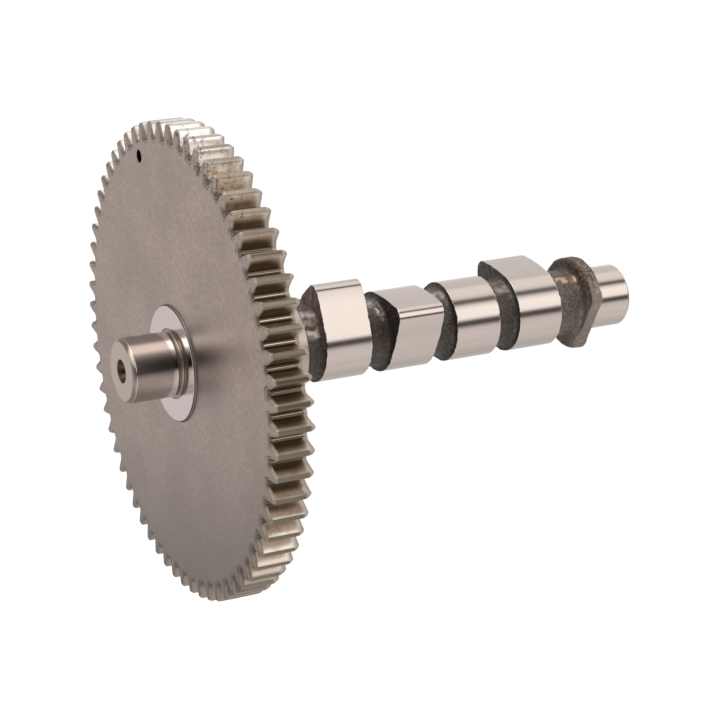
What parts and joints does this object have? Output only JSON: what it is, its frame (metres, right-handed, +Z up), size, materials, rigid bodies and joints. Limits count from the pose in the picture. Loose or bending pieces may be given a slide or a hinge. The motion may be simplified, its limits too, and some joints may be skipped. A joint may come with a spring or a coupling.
{
  "type": "camshaft",
  "caption": "Iron camshaft with ground lobes, two plain journals and a cast eccentric, and a flat spur timing gear pressed on one end.",
  "frame": {"origin": "middle of the lying part's bounding box, on the floor it rests on", "axes": "+Z up, +X along the floor from the gear towards the rear journal, whose end is the low one; the shaft slopes down by about 23 degrees, as the part comes to rest on its gear rim and rear journal"},
  "size_m": [0.17, 0.1396, 0.1322],
  "materials": {
    "machined_iron": "ground journals and lobes, dark as-cast necks",
    "gear_steel": "dull blasted face, hobbed teeth"
  },
  "bodies": {
    "root": {"camshaft": "machined_iron", "timing_gear": "gear_steel"}
  },
  "joints": []
}
